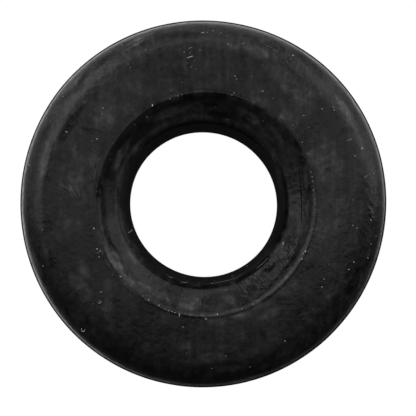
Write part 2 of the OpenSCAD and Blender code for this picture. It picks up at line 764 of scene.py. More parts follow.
@dataclass(frozen=True)
class RubberFinish:
    """Matt black rubber with a light bloom, dust with painted highlights and shade, worn patches and a fine moulded
    grain.
    """

    dark: float = 0.0028
    pale: float = 0.045
    roughness: float = 0.34
    roughness_swing: float = 0.22
    rubbed_roughness: float = 0.14
    rubbed_specular: float = 1.0
    specular: float = 0.32
    dull_roughness: float = 0.8
    dull_specular: float = 0.03
    bloom: float = 0.12
    bloom_roughness: float = 0.2
    dust_share: float = 0.4
    wear: float = 0.14
    tones: Patches = Patches((
        Layer(5.0 * MM, 0.9, detail=6.0),
        Layer(1.5 * MM, 0.9, detail=4.0),
        Layer(0.5 * MM, 0.8, detail=3.0),
        Layer(0.2 * MM, 0.6),
        Layer(0.7 * MM, 1.0, Flow.WIPED, detail=3.0),
        Layer(0.5 * MM, 0.4, Flow.RADIAL),
    ))
    worn: Patches = Patches((
        Layer(2.2 * MM, 0.45, detail=6.0),
        Layer(0.6 * MM, 0.7, detail=3.0),
        Layer(0.25 * MM, 1.0),
    ))
    relief: Patches = Patches((
        Layer(0.14 * MM, 0.016),
        Layer(0.4 * MM, 0.045),
        Layer(1.2 * MM, 0.09),
    ))

    def build(self) -> bpy.types.Material:
        """Makes the material.

        Returns:
            The material.
        """
        graph = Graph("rubber")
        dust = graph.node("ShaderNodeAttribute", attribute_name=Film.DUST.value)
        dull = graph.node("ShaderNodeAttribute", attribute_name=Film.DULL.value)
        even = graph.node("ShaderNodeAttribute", attribute_name=Film.EVEN.value)
        strength = graph.math("SUBTRACT", 1.0, even.outputs["Fac"])
        patchy = graph.math("MULTIPLY", self.tones.build(graph, 0.0), strength)
        # The dust film lightens or darkens the colour, both as dust and as painted highlights and painted shade.
        tone = graph.math("ADD", graph.math("MULTIPLY_ADD", dust.outputs["Fac"], self.dust_share, 0.52), patchy)
        colour = graph.math("MULTIPLY", graph.math("POWER", self.pale / self.dark, tone), self.dark)
        swing = graph.math("MULTIPLY_ADD", tone, self.roughness_swing, self.roughness - self.roughness_swing / 2)
        rubbed = graph.math("MAXIMUM", graph.math("MULTIPLY", dull.outputs["Fac"], -1.0), 0.0)
        blotchy = graph.math("MULTIPLY", self.worn.build(graph, 0.0), strength)
        share = graph.math("ADD", graph.math("ADD", dull.outputs["Fac"], self.wear), blotchy)
        bump = graph.node("ShaderNodeBump")
        graph.feed(bump.inputs["Strength"], strength)
        graph.feed(bump.inputs["Distance"], MM)
        graph.feed(bump.inputs["Height"], self.relief.build(graph, 0.0))
        matt, smooth_edge = graph.node("ShaderNodeBsdfPrincipled"), graph.node("ShaderNodeBsdfPrincipled")
        for shader, roughness, specular in (
            (graph.shader, swing, self.specular),
            (matt, self.dull_roughness, self.dull_specular),
            (smooth_edge, self.rubbed_roughness, self.rubbed_specular),
        ):
            graph.feed(shader.inputs["Base Color"], colour)
            graph.feed(shader.inputs["Roughness"], roughness)
            graph.feed(shader.inputs["Specular IOR Level"], specular)
            graph.feed(shader.inputs["Normal"], bump.outputs["Normal"])
        graph.feed(graph.shader.inputs["Sheen Weight"], self.bloom)
        graph.feed(graph.shader.inputs["Sheen Roughness"], self.bloom_roughness)
        mixed = graph.mix(share, graph.shader.outputs[0], matt.outputs[0])
        mixed = graph.mix(rubbed, mixed, smooth_edge.outputs[0])
        graph.feed(graph.tree.nodes["Material Output"].inputs["Surface"], mixed)
        return graph.material


class Grime(Enum):
    """What a small mark is made of."""

    LINT = "lint"
    # Fine cuts and creases, drawn as near-black strands: painted shade inside them.
    CUT = "cut"


@dataclass(frozen=True)
class GrimeFinish:
    """The plain, dull look of one kind of mark."""

    grime: Grime
    dark: float
    pale: float
    roughness: float = 0.9
    specular: float = 0.1

    def build(self) -> bpy.types.Material:
        """Makes the material.

        Returns:
            The material.
        """
        graph = Graph(self.grime.value)
        spot = graph.node("ShaderNodeTexCoord").outputs["Object"]
        cloud = graph.node("ShaderNodeTexNoise")
        graph.feed(cloud.inputs["Vector"], spot)
        graph.feed(cloud.inputs["Scale"], 1 / (0.5 * MM))
        colour = graph.math("MULTIPLY_ADD", cloud.outputs["Fac"], self.pale - self.dark, self.dark)
        graph.feed(graph.shader.inputs["Base Color"], colour)
        graph.feed(graph.shader.inputs["Roughness"], self.roughness)
        graph.feed(graph.shader.inputs["Specular IOR Level"], self.specular)
        return graph.material


@dataclass(frozen=True)
class Touch:
    """A point on the ring: its place, the surface's direction and the length of a pixel there."""

    place: Vector
    normal: Vector
    px: float


class Surface:
    """The ring's surface, found under the photograph's pixels."""

    def __init__(self, ring: bpy.types.Object, view: PhotoView) -> None:
        """Prepares the search.

        Args:
            ring: The ring's object.
            view: The camera.
        """
        self.mesh = ring.data
        self.view = view
        places = [vert.co for vert in self.mesh.vertices]
        self.tree = BVHTree.FromPolygons(places, [face.vertices for face in self.mesh.polygons])

    def touch(self, place: Vector, normal: Vector) -> Touch:
        """Describes a point on the surface.

        Args:
            place: The point.
            normal: The surface's direction there.

        Returns:
            The point with the length of a pixel at its depth.
        """
        return Touch(place, normal, (self.view.eye.z - place.z) / self.view.focal_px)

    def under(self, spot: Point) -> Touch | None:
        """Finds the surface under a pixel.

        Args:
            spot: The pixel.

        Returns:
            The point, or None where the photograph shows the background.
        """
        place, normal, _, _ = self.tree.ray_cast(self.view.eye, self.view.ray(spot))
        return self.touch(place, normal) if place else None

    def anywhere(self, rng: random.Random) -> Touch:
        """Picks a point on any side of the ring.

        Args:
            rng: The source of chance.

        Returns:
            The point.
        """
        face = rng.choice(self.mesh.polygons)
        return self.touch(face.center, face.normal)


@dataclass(frozen=True)
class Strand:
    """A fibre or a fine cut through some of the photograph's pixels."""

    grime: Grime
    wide: float
    points: tuple[Point, ...]

    def dense(self, step: float = 0.9) -> list[Point]:
        """A smooth curve through the strand's points.

        Args:
            step: The distance between two points of the curve, in pixels.

        Returns:
            The curve's points in order.
        """
        ends = (self.points[0], *self.points, self.points[-1])
        found = []
        for a, b, c, d in zip(ends, ends[1:], ends[2:], ends[3:]):
            count = max(2, round(math.dist(b, c) / step))
            for i in range(count):
                t = i / count
                weights = (
                    (-t + 2 * t**2 - t**3) / 2,
                    (2 - 5 * t**2 + 3 * t**3) / 2,
                    (t + 4 * t**2 - 3 * t**3) / 2,
                    (t**3 - t**2) / 2,
                )
                found.append(tuple(sum(w * p[axis] for w, p in zip(weights, (a, b, c, d))) for axis in (0, 1)))
        return [*found, self.points[-1]]


@dataclass
class Marks:
    """The specks, fibres and fine cuts on the ring."""

    surface: Surface
    specks: tuple[tuple[float, float, float], ...]
    strands: tuple[Strand, ...]
    strewn: int = 320
    seed: int = 5

    def build(self, finish: GrimeFinish) -> bpy.types.Object:
        """Makes all the marks of one kind as one piece.

        Args:
            finish: Their kind and look.

        Returns:
            The piece.
        """
        bm = bmesh.new()
        for strand in self.strands:
            if strand.grime is finish.grime:
                self.add_strand(bm, strand)
        if finish.grime is Grime.LINT:
            self.add_specks(bm)
        bmesh.ops.recalc_face_normals(bm, faces=bm.faces)
        made = add_object(f"{finish.grime.value}_marks", bm)
        made.data.materials.append(finish.build())
        return made

    def add_specks(self, bm: bmesh.types.BMesh) -> None:
        """Adds the specks that the photograph shows and some smaller ones on all sides.

        Args:
            bm: The mesh that they join.
        """
        rng = random.Random(self.seed)
        for x_px, y_px, wide in self.specks:
            touch = self.surface.under((x_px, y_px))
            if touch:
                self.add_speck(bm, touch, wide, rng)
        for _ in range(self.strewn):
            self.add_speck(bm, self.surface.anywhere(rng), rng.uniform(0.25, 0.7), rng)

    @staticmethod
    def add_speck(bm: bmesh.types.BMesh, touch: Touch, wide: float, rng: random.Random) -> None:
        """Adds one uneven, flattened grain.

        Args:
            bm: The mesh that it joins.
            touch: Where it lies.
            wide: Its mean width in pixels.
            rng: The source of chance.
        """
        normal = touch.normal
        along = normal.orthogonal().normalized()
        side = normal.cross(along)
        angle = rng.uniform(0, math.tau)
        along, side = along * math.cos(angle) + side * math.sin(angle), side * math.cos(angle) - along * math.sin(angle)
        longer = rng.uniform(1.0, 1.5)
        radius = 0.85 * wide * touch.px / 2
        grain = bmesh.ops.create_icosphere(bm, subdivisions=2, radius=1.0)
        for vert in grain["verts"]:
            uneven = 1 + 0.5 * noise.noise(vert.co * 1.3 + touch.place / (0.01 * MM))
            x, y, z = vert.co * (radius * uneven)
            vert.co = touch.place + along * (x * longer) + side * (y / longer) + normal * (z * 0.5)

    def add_strand(self, bm: bmesh.types.BMesh, strand: Strand) -> None:
        """Adds one fibre or cut, which lies on the surface and thins out at both ends.

        Args:
            bm: The mesh that it joins.
            strand: The fibre or cut.
        """
        found = [touch for touch in map(self.surface.under, strand.dense()) if touch]
        if len(found) < 3:
            return
        flat = 0.25 if strand.grime is Grime.CUT else 0.7
        last = len(found) - 1
        rings = [[bm.verts.new(found[0].place)]]
        for i in range(1, last):
            touch = found[i]
            ahead = (found[i + 1].place - found[i - 1].place).normalized()
            side = ahead.cross(touch.normal).normalized()
            thin = math.sin(math.pi * i / last) ** 0.5 * (1 + 0.3 * noise.noise(touch.place / (0.3 * MM)))
            radius = strand.wide * touch.px / 2 * thin
            rings.append([
                bm.verts.new(touch.place + (side * math.cos(a) + touch.normal * (flat * math.sin(a))) * radius)
                for a in (math.tau * k / 6 for k in range(6))
            ])
        rings.append([bm.verts.new(found[last].place)])
        for first, second in zip(rings, rings[1:]):
            for k in range(6):
                corners = (first[k % len(first)], first[(k + 1) % len(first)])
                corners += (second[(k + 1) % len(second)], second[k % len(second)])
                bm.faces.new(tuple(dict.fromkeys(corners)))


@dataclass(frozen=True)
class SoftBox:
    """A flat rectangular lamp that looks at the grommet."""

    name: str
    toward: float
    rise: float
    level: float
    width: float
    height: float
    away: float = 0.16

    def build(self, target: Vector) -> bpy.types.Object:
        """Makes the lamp.

        Args:
            target: The point that it looks at.

        Returns:
            The lamp.
        """
        around, up = math.radians(self.toward), math.radians(self.rise)
        ray = Vector((math.cos(around) * math.cos(up), math.sin(around) * math.cos(up), math.sin(up)))
        data = bpy.data.lights.new(self.name, "AREA")
        data.shape = "RECTANGLE"
        data.size, data.size_y = self.width, self.height
        data.energy = self.level * math.pi * self.width * self.height
        lamp = bpy.data.objects.new(self.name, data)
        bpy.context.collection.objects.link(lamp)
        lamp.location = target + ray * self.away
        lamp.rotation_euler = ray.to_track_quat("Z", "Y").to_euler()
        return lamp


@dataclass
class Studio:
    """The pale floor, the white surroundings and the soft lamps."""

    lamps: tuple[SoftBox, ...]
    floor_size: float = 3.0
    floor_gap: float = 0.02 * MM
    # Floor colours and glow: lighter toward the lamps as painted light, darker away from them and under the ring as
    # painted shadow, and white to glossy rays as a painted reflection.
    paper: float = 0.5
    paper_painted_shade: float = 0.1
    shadow_share: float = 0.04
    white: float = 1.04
    gloom: float = 0.02
    far_painted_glow: float = 0.65
    far_painted_light_toward: float = 95.0
    near_painted_light_toward: float = 115.0

    def build(self, target: Vector) -> None:
        """Makes the floor, the world and the lamps.

        Args:
            target: The point that the lamps look at.
        """
        self.build_floor()
        self.build_world()
        for lamp in self.lamps:
            lamp.build(target)

    def build_floor(self) -> None:
        """Makes the floor, which shows white and keeps a faint shadow.

        Its colour is painted lighter toward the lamps, and darker under the ring as a painted shadow. Glossy rays see
        its white as a painted reflection close to the ring and, dimmer, on the side of the lamps.
        """
        bm = bmesh.new()
        bmesh.ops.create_grid(bm, x_segments=1, y_segments=1, size=self.floor_size / 2)
        bmesh.ops.translate(bm, verts=bm.verts, vec=(0, 0, -self.floor_gap))
        floor = add_object("floor", bm)
        graph = Graph("floor")
        graph.tree.nodes.remove(graph.shader)
        paper, white = graph.node("ShaderNodeBsdfDiffuse"), graph.node("ShaderNodeEmission")
        graph.feed(white.inputs["Strength"], self.white)
        rays = graph.node("ShaderNodeLightPath")
        seen = graph.math("MAXIMUM", rays.outputs["Is Camera Ray"], rays.outputs["Is Transmission Ray"])
        seen = graph.math("MULTIPLY", seen, 1 - self.shadow_share)
        spot = graph.node("ShaderNodeTexCoord").outputs["Object"]
        reach = graph.node("ShaderNodeVectorMath", operation="LENGTH")
        graph.feed(reach.inputs[0], spot)
        # Painted light on the floor: a weak ramp toward the lamps far out and a stronger one near the ring, with a
        # painted shadow under the ring.
        far = graph.ramp(self.toward(graph, spot, self.far_painted_light_toward), -30 * MM, 50 * MM)
        near = graph.ramp(self.toward(graph, spot, self.near_painted_light_toward), -30 * MM, 5 * MM, start=0.08)
        near = graph.math("MULTIPLY", near, graph.ramp(reach.outputs["Value"], 46 * MM, 28 * MM))
        painted_light_and_shadow = graph.math("MAXIMUM", near, graph.math("MULTIPLY", far, self.far_painted_glow))
        painted_light_and_shadow = graph.math("MULTIPLY", painted_light_and_shadow, graph.ramp(reach.outputs["Value"], 15 * MM, 20 * MM, start=0.2))
        # The paper's colour, painted lighter where the floor is painted lit.
        pale = graph.math("MULTIPLY_ADD", painted_light_and_shadow, self.paper - self.paper_painted_shade, self.paper_painted_shade)
        graph.feed(paper.inputs["Color"], pale)
        # Glossy rays see the floor's white as a painted reflection where it is painted lit.
        painted_reflection_glow = graph.math("MULTIPLY", rays.outputs["Is Glossy Ray"], painted_light_and_shadow)
        mixed = graph.mix(graph.math("MAXIMUM", seen, painted_reflection_glow), paper.outputs[0], white.outputs[0])
        graph.feed(graph.tree.nodes["Material Output"].inputs["Surface"], mixed)
        floor.data.materials.append(graph.material)

    @staticmethod
    def toward(graph: Graph, spot: bpy.types.NodeSocket, angle: float) -> bpy.types.NodeSocket:
        """Adds the distance from the bore's axis along one direction.

        Args:
            graph: The floor's nodes.
            spot: The floor's coordinates.
            angle: The direction from +X, in degrees, anticlockwise.

        Returns:
            The distance, below 0 on the other side of the axis.
        """
        along = graph.node("ShaderNodeVectorMath", operation="DOT_PRODUCT")
        graph.feed(along.inputs[0], spot)
        graph.feed(along.inputs[1], (math.cos(math.radians(angle)), math.sin(math.radians(angle)), 0))
        return along.outputs["Value"]

    def build_world(self) -> None:
        """Makes the surroundings, white to the camera and dim to the object."""
        world = bpy.data.worlds.new("studio")
        bpy.context.scene.world = world
        world.use_nodes = True
        tree = world.node_tree
        sky = tree.nodes["Background"]
        rays = tree.nodes.new("ShaderNodeLightPath")
        level = tree.nodes.new("ShaderNodeMapRange")
        level.inputs["To Min"].default_value = self.gloom
        tree.links.new(rays.outputs["Is Camera Ray"], level.inputs["Value"])
        tree.links.new(level.outputs["Result"], sky.inputs["Strength"])
        sky.inputs["Color"].default_value = (1, 1, 1, 1)


LAMPS = (
    SoftBox("left_low", toward=170, rise=22, level=1.3, width=0.075, height=0.055),
    SoftBox("left_high", toward=170, rise=42, level=2.3, width=0.065, height=0.055),
    SoftBox("corner_low", toward=135, rise=22, level=2.6, width=0.075, height=0.055),
    SoftBox("corner_high", toward=138, rise=42, level=3.4, width=0.065, height=0.055),
    SoftBox("back_low", toward=92, rise=15, level=0.9, width=0.085, height=0.075),
    SoftBox("back_high", toward=92, rise=42, level=1.75, width=0.075, height=0.07),
    SoftBox("right_corner_low", toward=48, rise=12, level=1.7, width=0.075, height=0.055),
    SoftBox("right_corner_high", toward=46, rise=32, level=2.3, width=0.07, height=0.055),
    SoftBox("right_low", toward=12, rise=12, level=2.2, width=0.075, height=0.055),
    SoftBox("right_high", toward=12, rise=32, level=1.0, width=0.07, height=0.055),
    SoftBox("right_top", toward=30, rise=52, level=0.75, width=0.10, height=0.05),
    SoftBox("above_left", toward=170, rise=76, level=1.0, width=0.07, height=0.06),
    SoftBox("above_right", toward=10, rise=76, level=1.2, width=0.07, height=0.06),
    SoftBox("above_back", toward=90, rise=68, level=0.25, width=0.07, height=0.05),
)

# Soft patches of dust, of dullness and of painted light. The pale strips along the shoulders' bright bands and the rim
# are painted highlights; the dark strips just inside the left crease, outside the right bright band and on the upper
# side of the dish are painted shade.
SMUDGES_AND_PAINTED_LIGHT = (
    SoftPatch(188, 35, 24, 4, 0, -0.5),
    SoftPatch(258, 52, 14, 8, 20, 1.1),
    SoftPatch(240, 33, 20, 4, 8, -0.4),
    SoftPatch(237, 47, 12, 5, 0, 0.6),
    SoftPatch(219, 45, 28, 4, 3, 0.4),
    SoftPatch(272, 56, 10, 7, 30, 0.3),
    SoftPatch(136, 42, 20, 5, -28, 1.4),
    SoftPatch(136, 86, 18, 9, 30, 0.5),
    SoftPatch(144, 68, 10, 7, 0, -0.4),
    SoftPatch(168, 73, 12, 7, 0, -0.5),
    SoftPatch(112, 90, 10, 8, 90, -0.4),
    SoftPatch(149, 104, 18, 7, -30, -0.9),
    SoftPatch(184, 84, 22, 10, 70, -0.8),
    SoftPatch(222, 92, 22, 9, -10, -0.8),
    SoftPatch(222, 63, 16, 7, 80, -0.6),
    SoftPatch(185, 70, 19, 2.5, 88, 0.5),
    SoftPatch(197, 72, 18, 2, 90, -0.5),
    SoftPatch(207, 72, 18, 2.5, 91, 0.4),
    SoftPatch(220, 70, 16, 2.5, 92, 0.3),
    SoftPatch(292, 86, 36, 13, 40, 0.8),
    SoftPatch(285, 97, 9, 7, 0, -0.6),
    SoftPatch(266, 83, 12, 7, 20, -0.5),
    SoftPatch(286, 115, 9, 8, 0, 0.8),
    SoftPatch(261, 102, 11, 7, 10, 0.6),
    SoftPatch(307, 134, 22, 14, 110, -1.4, soft=0.6),
    SoftPatch(302, 135, 14, 10, 110, 0.15, Film.DULL),
    SoftPatch(302, 152, 9, 5, 20, 0.5),
    SoftPatch(315, 141, 10, 8, 0, -0.9),
    SoftPatch(275, 160, 12, 5, 80, 0.3),
    SoftPatch(319, 154, 10, 7, 90, -0.4),
    SoftPatch(324, 118, 12, 9, 60, -0.7),
    SoftPatch(277, 109, 8, 7, 0, -0.6),
    # The next five pale strips are a painted highlight along the right shoulder's bright band, and the dark one after
    # them is painted shade just outside it.
    SoftPatch(346, 113, 26, 6, 60, 1.4),
    SoftPatch(361, 146, 24, 4, 72, 0.8),
    SoftPatch(343, 107, 16, 4, 58, 0.6),
    SoftPatch(329, 90, 14, 4, 48, 0.5),
    SoftPatch(306, 80, 14, 4, 38, 0.6),
    SoftPatch(312, 66, 16, 4, 38, -0.5),
    SoftPatch(316, 95, 10, 6, 0, 0.6),
    SoftPatch(346, 145, 13, 7, 80, 0.6),
    SoftPatch(311, 91, 12, 5, 45, 0.5),
    SoftPatch(328, 162, 34, 18, 78, 0.9),
    SoftPatch(312, 157, 12, 8, 40, 0.5),
    SoftPatch(325, 220, 42, 15, 104, 0.6),
    SoftPatch(342, 209, 18, 9, 100, 0.9),
    SoftPatch(341, 226, 10, 9, 0, 0.7),
    SoftPatch(371, 211, 9, 4, 90, -1.0),
    SoftPatch(307, 264, 10, 8, 0, -0.35),
    SoftPatch(347, 264, 10, 8, 0, -0.35),
    SoftPatch(365, 251, 6, 5, 0, -0.5),
    # A painted highlight along the lower right rim.
    SoftPatch(364, 280, 24, 4, -68, 0.7),
    SoftPatch(352, 286, 14, 6, -52, -0.7),
    SoftPatch(372, 212, 12, 5, 95, -0.9),
    SoftPatch(315, 220, 10, 4, 90, -0.7),
    SoftPatch(364, 256, 12, 6, 108, 0.8),
    SoftPatch(370, 235, 10, 5, 100, 0.6),
    SoftPatch(351, 272, 10, 8, 0, -0.9),
    SoftPatch(350, 250, 10, 8, 100, -0.9),
    SoftPatch(340, 257, 9, 7, 0, -0.5),
    SoftPatch(367, 210, 16, 6, 95, -0.4),
    SoftPatch(307, 252, 13, 9, -60, 0.7),
    SoftPatch(307, 272, 12, 8, -40, -0.7),
    SoftPatch(322, 286, 12, 8, -50, -0.5),
    SoftPatch(282, 277, 16, 6, -45, 0.9),
    SoftPatch(290, 287, 14, 8, -40, 0.8),
    SoftPatch(300, 286, 12, 8, 0, 0.3),
    SoftPatch(285, 301, 11, 6, 0, -0.3),
    SoftPatch(332, 291, 11, 9, 0, 0.6),
    SoftPatch(270, 314, 14, 7, -24, 1.0),
    SoftPatch(246, 314, 16, 6, -14, 1.0),
    SoftPatch(262, 305, 14, 5, -24, 1.2),
    SoftPatch(280, 294, 12, 6, -42, 0.6),
    SoftPatch(235, 313, 16, 6, -8, 0.9),
    SoftPatch(280, 340, 34, 15, -22, 0.5),
    SoftPatch(284, 356, 24, 6, -28, 0.6),
    SoftPatch(208, 386, 44, 6, 0, 0.5, Film.DULL),
    SoftPatch(272, 375, 28, 7, -21, 0.5, Film.DULL),
    SoftPatch(308, 351, 22, 7, -42, 0.5, Film.DULL),
    SoftPatch(252, 353, 10, 8, 0, 0.5),
    SoftPatch(268, 366, 18, 4, -18, 0.4),
    SoftPatch(256, 334, 13, 8, 0, -0.5),
    SoftPatch(298, 315, 20, 8, -50, -0.4),
    SoftPatch(200, 349, 26, 6, 8, 0.3),
    SoftPatch(212, 357, 18, 6, 0, 0.9),
    SoftPatch(205, 364, 26, 5, 0, 0.3),
    SoftPatch(217, 322, 12, 6, 0, 0.6),
    SoftPatch(250, 335, 16, 9, 0, 0.4),
    SoftPatch(290, 335, 14, 9, -30, -0.4),
    SoftPatch(230, 369, 16, 5, -8, 0.7),
    SoftPatch(227, 348, 12, 6, 0, 0.4),
    SoftPatch(151, 312, 13, 5, 90, -0.7),
    SoftPatch(128, 318, 24, 14, -8, -0.5),
    SoftPatch(156, 328, 18, 12, 20, -0.4),
    SoftPatch(146, 346, 16, 10, 10, -0.5),
    SoftPatch(182, 326, 24, 8, 0, -0.5),
    SoftPatch(80, 287, 20, 10, 50, 1.3),
    SoftPatch(84, 268, 12, 8, 60, 0.6),
    SoftPatch(66, 292, 12, 7, 50, 0.8),
    SoftPatch(76, 314, 13, 7, 40, 0.8),
    SoftPatch(105, 294, 10, 8, 0, 0.6),
    SoftPatch(71, 311, 7, 5, 0, -0.7),
    SoftPatch(127, 281, 14, 6, 35, 0.6),
    SoftPatch(111, 284, 9, 8, 0, 0.5),
    SoftPatch(65, 290, 10, 8, 0, -0.3),
    SoftPatch(88, 280, 9, 6, 0, 0.5),
    SoftPatch(107, 306, 9, 8, 0, 0.8),
    SoftPatch(135, 312, 12, 5, 80, 0.7),
    SoftPatch(105, 314, 10, 5, 62, 0.6),
    SoftPatch(46, 252, 16, 3, 75, 0.6),
    SoftPatch(55, 262, 10, 7, 60, -0.7),
    SoftPatch(47, 227, 12, 6, 80, -0.5),
    SoftPatch(95, 262, 9, 8, 0, -0.7),
    SoftPatch(80, 281, 8, 5, 0, -0.5),
    SoftPatch(112, 335, 9, 7, 0, -0.6),
    SoftPatch(160, 345, 12, 10, 0, -0.3),
    SoftPatch(143, 330, 12, 10, 0, -0.5),
    SoftPatch(81, 294, 8, 6, 0, -0.8),
    SoftPatch(125, 338, 8, 6, 0, -0.5),
    SoftPatch(150, 347, 12, 6, 0, 0.9),
    SoftPatch(183, 345, 10, 6, 0, 0.7),
    SoftPatch(51, 210, 24, 9, 92, -0.6),
    SoftPatch(76, 172, 30, 9, 92, 0.7),
    SoftPatch(78, 196, 16, 9, 60, 0.5),
    SoftPatch(65, 182, 12, 8, 60, 0.5),
    SoftPatch(62, 237, 10, 8, 0, 0.5),
    SoftPatch(73, 225, 14, 10, 0, 1.0),
    SoftPatch(106, 118, 20, 11, -40, 0.7),
    SoftPatch(102, 133, 10, 6, 0, 0.6),
    SoftPatch(92, 160, 12, 9, 90, 0.6),
    SoftPatch(97, 80, 10, 8, 0, 0.5),
    SoftPatch(72, 145, 10, 7, 90, 0.6),
    # Painted shade just inside the left crease.
    SoftPatch(66, 128, 18, 6, -66, -0.9),
    SoftPatch(115, 136, 10, 4, -55, -0.6),
    SoftPatch(97, 114, 6, 5, 0, -0.5),
    # From here to the strip at (36, 262), the pale strips are a painted highlight along the left shoulder's bright band
    # and the rim outside it, and the dark strip at (71, 124) is painted shade just inside the crease.
    SoftPatch(45, 160, 24, 5, -80, 1.3),
    SoftPatch(50, 116, 18, 5, -60, 0.7),
    SoftPatch(70, 84, 24, 7, -50, 1.2),
    SoftPatch(94, 63, 16, 5, -36, 0.9),
    SoftPatch(71, 124, 28, 5, -57, -1.5),
    SoftPatch(71, 124, 28, 5, -57, 0.2, Film.DULL),
    SoftPatch(61, 121, 16, 4, -58, 0.5),
    SoftPatch(61, 106, 14, 5, -56, 0.5),
    SoftPatch(52, 140, 12, 6, 90, 0.5),
    SoftPatch(41, 180, 12, 5, 94, 0.6),
    SoftPatch(37, 204, 12, 4, 90, 0.5),
    SoftPatch(36, 262, 16, 4, 70, 0.8),
    SoftPatch(92, 130, 14, 2.2, 12, -0.8),
    SoftPatch(107, 168, 17, 5, 94, -0.3),
    SoftPatch(117, 174, 26, 3, 94, 0.3),
    SoftPatch(118, 158, 14, 5, 105, 0.8),
    SoftPatch(138, 148, 12, 5, -50, 0.4),
    SoftPatch(97, 188, 15, 6, 90, -1.4),
    SoftPatch(116, 190, 14, 4, 90, -0.7),
    SoftPatch(106, 188, 12, 4, 90, 0.5),
    SoftPatch(112, 207, 18, 4, 88, -0.9),
    SoftPatch(114, 202, 13, 5, 90, 0.4),
    SoftPatch(124, 224, 22, 5, 75, 0.9),
    SoftPatch(112, 241, 9, 4, 70, -0.5),
    SoftPatch(114, 258, 20, 7, 62, 1.8),
    SoftPatch(112, 247, 6, 7, 0, -1.1),
    SoftPatch(126, 272, 12, 6, 45, 0.5),
    SoftPatch(84, 272, 10, 6, 40, 0.6),
    SoftPatch(130, 279, 12, 7, 30, 0.4),
    SoftPatch(101, 240, 16, 4, 72, 1.0),
    SoftPatch(128, 258, 16, 6, 55, 0.8, soft=0.5),
    SoftPatch(150, 290, 24, 4, 28, 0.8, soft=0.5),
    SoftPatch(146, 275, 20, 4, 36, -0.8),
    SoftPatch(170, 282, 12, 4, 10, -0.7),
    SoftPatch(200, 290, 14, 3, 0, -0.6),
    SoftPatch(190, 303, 13, 8, 5, 0.7, soft=0.4),
    SoftPatch(209, 306, 12, 7, 80, -1.9),
    SoftPatch(200, 297, 8, 5, 0, 0.6),
    SoftPatch(232, 313, 22, 3, -6, -0.8),
    SoftPatch(257, 311, 8, 4, -24, -0.7),
    SoftPatch(187, 308, 14, 6, 12, 0.6),
    SoftPatch(160, 290, 12, 4, 30, 0.6),
    SoftPatch(214, 287, 22, 4, -4, -1.0),
    SoftPatch(184, 287, 20, 4, 8, -0.8),
    SoftPatch(243, 306, 7, 4, 0, -0.6),
    SoftPatch(227, 304, 7, 6, 0, -0.6),
    SoftPatch(232, 300, 7, 6, 0, 0.8),
    SoftPatch(212, 315, 16, 4, 0, 0.9),
    SoftPatch(258, 286, 26, 7, -24, -1.2),
    SoftPatch(276, 250, 10, 8, -50, 1.0, soft=0.5),
    SoftPatch(287, 262, 18, 6, -58, -1.0),
    SoftPatch(289, 248, 22, 7, -70, -1.2),
    SoftPatch(276, 234, 24, 6, -72, -1.4),
    SoftPatch(286, 220, 14, 5, -80, -0.9),
    SoftPatch(296, 241, 10, 5, -70, -1.1),
    SoftPatch(286, 256, 12, 5, -60, -1.0),
    SoftPatch(266, 268, 22, 9, -42, -1.3),
    SoftPatch(269, 263, 20, 9, -44, 0.4, Film.DULL),
    SoftPatch(215, 298, 12, 8, 90, -0.6),
    SoftPatch(286, 255, 10, 5, -60, 0.3, Film.DULL),
    SoftPatch(280, 235, 22, 7, -72, 0.3, Film.DULL),
    SoftPatch(246, 280, 16, 5, -30, -0.9),
    SoftPatch(299, 172, 16, 4, 75, 0.4),
    SoftPatch(306, 180, 16, 3, 86, 0.9),
    SoftPatch(307, 209, 13, 3, 92, 0.9),
    SoftPatch(294, 191, 16, 4, 88, -0.8),
    SoftPatch(312, 188, 8, 4, 90, -0.5),
    SoftPatch(260, 130, 26, 5, 42, 0.3),
    SoftPatch(249, 116, 18, 6, 32, 1.0),
    SoftPatch(280, 180, 16, 4, 78, 1.0),
    SoftPatch(270, 150, 10, 7, 50, 0.2),
    SoftPatch(281, 145, 7, 4, 60, 0.5),
    SoftPatch(277, 134, 14, 4, 50, 0.7),
    SoftPatch(273, 150, 12, 5, 60, -0.3),
    # The dark strips here and at (247, 118), (211, 104), (194, 98) and (155, 105) are painted shade on the upper side
    # of the dish.
    SoftPatch(219, 115, 14, 5, 8, -1.0),
    SoftPatch(174, 116, 28, 5, -16, 0.35),
    SoftPatch(104, 105, 24, 16, -50, 0.3, soft=1.0),
    SoftPatch(86, 236, 40, 20, 80, -0.25, soft=1.0),
    SoftPatch(198, 107, 8, 5, 0, 0.5),
    SoftPatch(247, 118, 7, 5, 20, -0.8),
    SoftPatch(211, 104, 9, 4, 0, -0.8),
    SoftPatch(194, 98, 14, 4, 0, -0.3),
    SoftPatch(155, 105, 9, 5, -40, -0.5),
    SoftPatch(168, 113, 30, 5, -18, 0.9),
    SoftPatch(176, 119, 12, 4, -14, -0.5),
    SoftPatch(133, 254, 14, 4, 52, -0.2),
    SoftPatch(107, 229, 15, 3, 80, 0.8),
    SoftPatch(111, 201, 8, 6, 90, -0.6),
    SoftPatch(117, 169, 8, 6, 0, 0.5),
    SoftPatch(126, 182, 20, 5, 98, 0.2),
    SoftPatch(111, 208, 14, 8, 90, 0.3, Film.DULL),
    SoftPatch(136, 246, 10, 3, 55, 0.6),
    SoftPatch(124, 150, 18, 5, -64, 0.8),
    SoftPatch(268, 276, 34, 9, -38, 0.4, Film.DULL),
    SoftPatch(291, 232, 22, 8, -80, 0.6, Film.DULL),
    SoftPatch(222, 298, 26, 8, -6, 0.3, Film.DULL),
    SoftPatch(78, 86, 13, 5, -50, 0.4, Film.DULL),
    SoftPatch(100, 62, 14, 5, -38, 0.35, Film.DULL),
    SoftPatch(308, 62, 36, 5, 46, 0.3, Film.DULL),
    SoftPatch(188, 35, 26, 5, 0, 0.3, Film.DULL),
)

